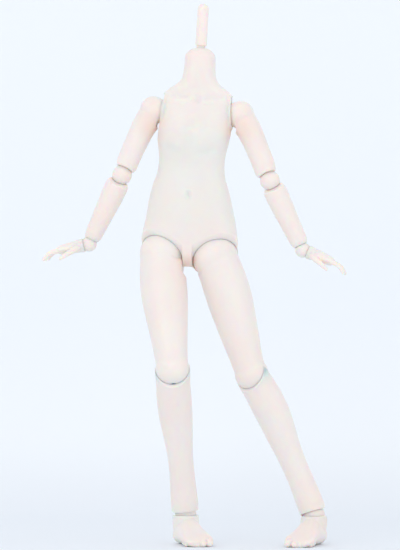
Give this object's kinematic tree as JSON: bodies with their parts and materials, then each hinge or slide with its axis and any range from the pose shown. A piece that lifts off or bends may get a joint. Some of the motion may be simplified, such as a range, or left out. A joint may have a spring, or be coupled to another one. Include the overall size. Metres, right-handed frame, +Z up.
{
  "type": "jointed doll body",
  "caption": "Headless ball-jointed resin doll body, standing, with free elbow, wrist and ankle balls, hip balls in high-cut openings and a post on the neck.",
  "frame": {"origin": "on the floor, under the middle of the body's box", "axes": "+Z up, the doll faces -Y, +X to the doll's left"},
  "size_m": [0.3038, 0.086, 0.5397],
  "materials": {
    "resin": "satin",
    "steel": "satin",
    "elastic": "matte"
  },
  "bodies": {
    "torso": {"torso": "resin", "leg_cord": "elastic", "arm_cord": "elastic", "neck_hook": "steel"},
    "head_post": {"head_post": "resin"},
    "right_shoulder_cord": {"right_shoulder_cord": "elastic"},
    "right_upper_arm": {"right_upper_arm": "resin"},
    "right_arm_cord": {"right_arm_cord": "elastic"},
    "right_elbow_ball": {"right_elbow_ball": "resin", "right_elbow_cord": "elastic"},
    "right_forearm": {"right_forearm": "resin", "right_forearm_cord": "elastic"},
    "right_wrist_ball": {"right_wrist_ball": "resin"},
    "right_hand": {"right_hand": "resin", "right_hand_bar": "steel", "right_wrist_hook": "steel"},
    "right_hip_cord": {"right_hip_cord": "elastic"},
    "right_thigh": {"right_thigh": "resin", "right_thigh_cord": "elastic"},
    "right_shin": {"right_shin": "resin", "right_shin_cord": "elastic"},
    "right_ankle_ball": {"right_ankle_ball": "resin"},
    "right_foot": {"right_foot": "resin", "right_foot_bar": "steel", "right_ankle_hook": "steel"},
    "left_shoulder_cord": {"left_shoulder_cord": "elastic"},
    "left_upper_arm": {"left_upper_arm": "resin"},
    "left_arm_cord": {"left_arm_cord": "elastic"},
    "left_elbow_ball": {"left_elbow_ball": "resin", "left_elbow_cord": "elastic"},
    "left_forearm": {"left_forearm": "resin", "left_forearm_cord": "elastic"},
    "left_wrist_ball": {"left_wrist_ball": "resin"},
    "left_hand": {"left_hand": "resin", "left_hand_bar": "steel", "left_wrist_hook": "steel"},
    "left_hip_cord": {"left_hip_cord": "elastic"},
    "left_thigh": {"left_thigh": "resin", "left_thigh_cord": "elastic"},
    "left_shin": {"left_shin": "resin", "left_shin_cord": "elastic"},
    "left_ankle_ball": {"left_ankle_ball": "resin"},
    "left_foot": {"left_foot": "resin", "left_foot_bar": "steel", "left_ankle_hook": "steel"}
  },
  "joints": [
    {"name": "head_post_turn", "type": "hinge", "parent": "torso", "child": "head_post", "pos_m": [0.00724, 0.01606, 0.49528], "axis": [0.0576, 0, 0.9983], "range_deg": [-90, 90]},
    {"name": "right_shoulder_swing", "type": "hinge", "parent": "torso", "child": "right_shoulder_cord", "pos_m": [-0.03987, 0.01862, 0.43339], "axis": [-0.9929, 0.1045, 0.0572], "range_deg": [-50, 165]},
    {"name": "right_arm_lift", "type": "hinge", "parent": "right_shoulder_cord", "child": "right_upper_arm", "pos_m": [-0.03987, 0.01862, 0.43339], "axis": [0.1044, 0.9945, -0.006], "range_deg": [-2, 55]},
    {"name": "right_elbow_turn", "type": "hinge", "parent": "right_upper_arm", "child": "right_arm_cord", "pos_m": [-0.07162, 0.02156, 0.36883], "axis": [0.4409, -0.0408, 0.8966], "range_deg": [-80, 80]},
    {"name": "right_elbow_upper_bend", "type": "hinge", "parent": "right_arm_cord", "child": "right_elbow_ball", "pos_m": [-0.07162, 0.02156, 0.36883], "axis": [-0.8915, 0.0962, 0.4428], "range_deg": [0, 39]},
    {"name": "right_elbow_lower_bend", "type": "hinge", "parent": "right_elbow_ball", "child": "right_forearm", "pos_m": [-0.07162, 0.02156, 0.36883], "axis": [-0.8968, 0.0967, 0.4318], "range_deg": [0, 39]},
    {"name": "right_wrist_turn", "type": "hinge", "parent": "right_forearm", "child": "right_wrist_ball", "pos_m": [-0.10452, 0.02459, 0.29983], "axis": [0.43, -0.0397, 0.902], "range_deg": [-80, 80]},
    {"name": "right_wrist_bend", "type": "hinge", "parent": "right_wrist_ball", "child": "right_hand", "pos_m": [-0.10452, 0.02459, 0.29983], "axis": [0.1044, 0.9945, -0.006], "range_deg": [-115, 12]},
    {"name": "right_hip_swing", "type": "hinge", "parent": "torso", "child": "right_hip_cord", "pos_m": [-0.03113, 0.01683, 0.28965], "axis": [-0.9929, 0.1045, 0.0572], "range_deg": [-4, 28]},
    {"name": "right_hip_spread", "type": "hinge", "parent": "right_hip_cord", "child": "right_thigh", "pos_m": [-0.03113, 0.01683, 0.28965], "axis": [0.0784, 0.9348, -0.3465], "range_deg": [0, 20]},
    {"name": "right_knee_bend", "type": "hinge", "parent": "right_thigh", "child": "right_shin", "pos_m": [-0.02104, -0.02617, 0.17592], "axis": [0.9961, 0, 0.0884], "range_deg": [-36, 46]},
    {"name": "right_ankle_turn", "type": "hinge", "parent": "right_shin", "child": "right_ankle_ball", "pos_m": [-0.00813, 0.02283, 0.0305], "axis": [-0.0838, -0.3182, 0.9443], "range_deg": [-25, 25]},
    {"name": "right_ankle_bend", "type": "hinge", "parent": "right_ankle_ball", "child": "right_foot", "pos_m": [-0.00813, 0.02283, 0.0305], "axis": [-0.9613, -0.2756, 0], "range_deg": [-30, 9]},
    {"name": "left_shoulder_swing", "type": "hinge", "parent": "torso", "child": "left_shoulder_cord", "pos_m": [0.04651, 0.00952, 0.42841], "axis": [-0.9929, 0.1045, 0.0572], "range_deg": [-50, 165]},
    {"name": "left_arm_lift", "type": "hinge", "parent": "left_shoulder_cord", "child": "left_upper_arm", "pos_m": [0.04651, 0.00952, 0.42841], "axis": [-0.1044, -0.9945, 0.006], "range_deg": [-6, 50]},
    {"name": "left_elbow_turn", "type": "hinge", "parent": "left_upper_arm", "child": "left_arm_cord", "pos_m": [0.07595, 0.00603, 0.3628], "axis": [0.409, -0.0484, -0.9113], "range_deg": [-80, 80]},
    {"name": "left_elbow_upper_bend", "type": "hinge", "parent": "left_arm_cord", "child": "left_elbow_ball", "pos_m": [0.07595, 0.00603, 0.3628], "axis": [-0.9066, 0.0926, -0.4118], "range_deg": [0, 39]},
    {"name": "left_elbow_lower_bend", "type": "hinge", "parent": "left_elbow_ball", "child": "left_forearm", "pos_m": [0.07595, 0.00603, 0.3628], "axis": [-0.8985, 0.0917, -0.4292], "range_deg": [0, 39]},
    {"name": "left_wrist_turn", "type": "hinge", "parent": "left_forearm", "child": "left_wrist_ball", "pos_m": [0.10856, 0.00219, 0.2937], "axis": [0.4263, -0.0502, -0.9032], "range_deg": [-80, 80]},
    {"name": "left_wrist_bend", "type": "hinge", "parent": "left_wrist_ball", "child": "left_hand", "pos_m": [0.10856, 0.00219, 0.2937], "axis": [-0.1044, -0.9945, 0.006], "range_deg": [-105, 20]},
    {"name": "left_hip_swing", "type": "hinge", "parent": "torso", "child": "left_hip_cord", "pos_m": [0.0213, 0.01131, 0.28663], "axis": [-0.9929, 0.1045, 0.0572], "range_deg": [-6, 55]},
    {"name": "left_hip_spread", "type": "hinge", "parent": "left_hip_cord", "child": "left_thigh", "pos_m": [0.0213, 0.01131, 0.28663], "axis": [-0.1011, -0.9931, 0.0594], "range_deg": [-3, 6]},
    {"name": "left_knee_bend", "type": "hinge", "parent": "left_thigh", "child": "left_shin", "pos_m": [0.05764, 0.00068, 0.17065], "axis": [0.7815, -0.5497, 0.2953], "range_deg": [-12, 66]},
    {"name": "left_ankle_turn", "type": "hinge", "parent": "left_shin", "child": "left_ankle_ball", "pos_m": [0.12004, 0.0141, 0.0305], "axis": [0.4052, 0.0872, -0.9101], "range_deg": [-25, 25]},
    {"name": "left_ankle_bend", "type": "hinge", "parent": "left_ankle_ball", "child": "left_foot", "pos_m": [0.12004, 0.0141, 0.0305], "axis": [-0.9397, 0.342, 0], "range_deg": [-20, 6]}
  ]
}
